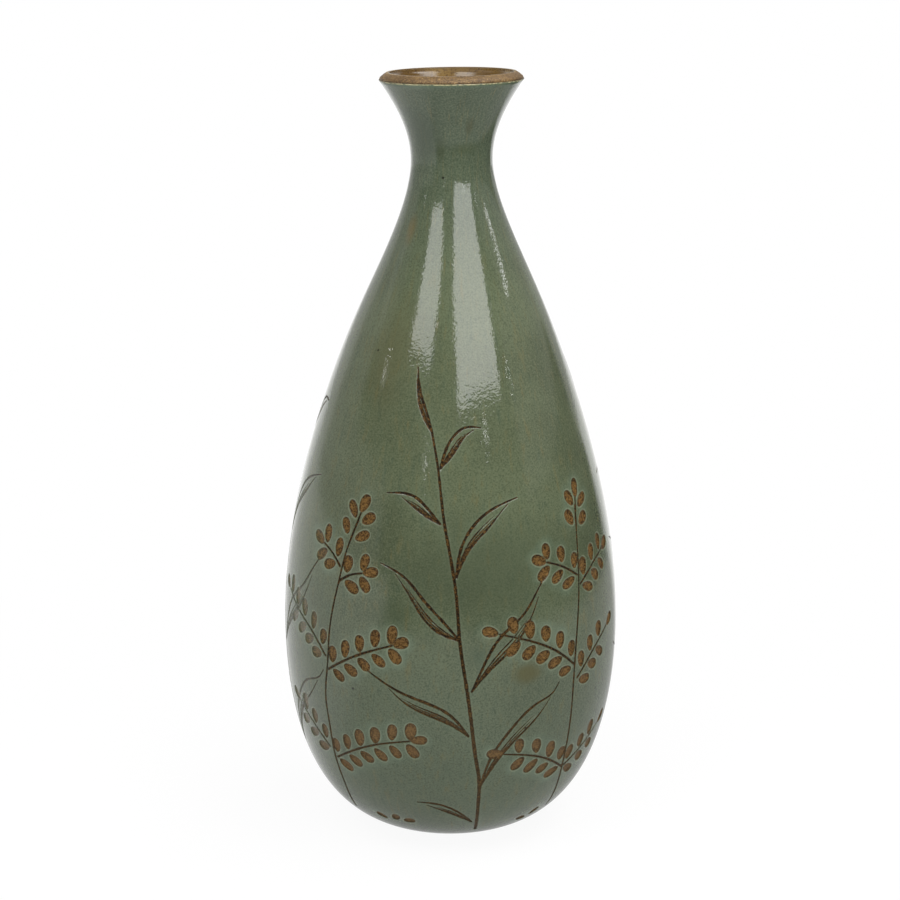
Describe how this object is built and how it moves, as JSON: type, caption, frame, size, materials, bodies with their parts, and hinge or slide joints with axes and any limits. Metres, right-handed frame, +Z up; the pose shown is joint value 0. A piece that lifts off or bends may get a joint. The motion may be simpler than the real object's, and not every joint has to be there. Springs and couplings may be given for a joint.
{
  "type": "sake bottle",
  "caption": "Pear-shaped stoneware sake bottle with a narrow neck, flared lip, low foot ring and separate outer and inner glaze coats.",
  "frame": {"origin": "centre of the foot, on the surface that the bottle stands on", "axes": "+Z up along the bottle's axis, towards the mouth; the pictured side faces -Y"},
  "size_m": [0.0806, 0.0806, 0.1817],
  "materials": {
    "bare_clay": "satin, speckled golden brown stoneware",
    "celadon_glaze": "glossy grey-green glaze with carved and browned leaf sprays",
    "amber_glaze": "glossy amber brown liner glaze"
  },
  "bodies": {
    "root": {"stoneware_body": "bare_clay", "outer_glaze": "celadon_glaze", "inner_glaze": "amber_glaze"}
  },
  "joints": []
}
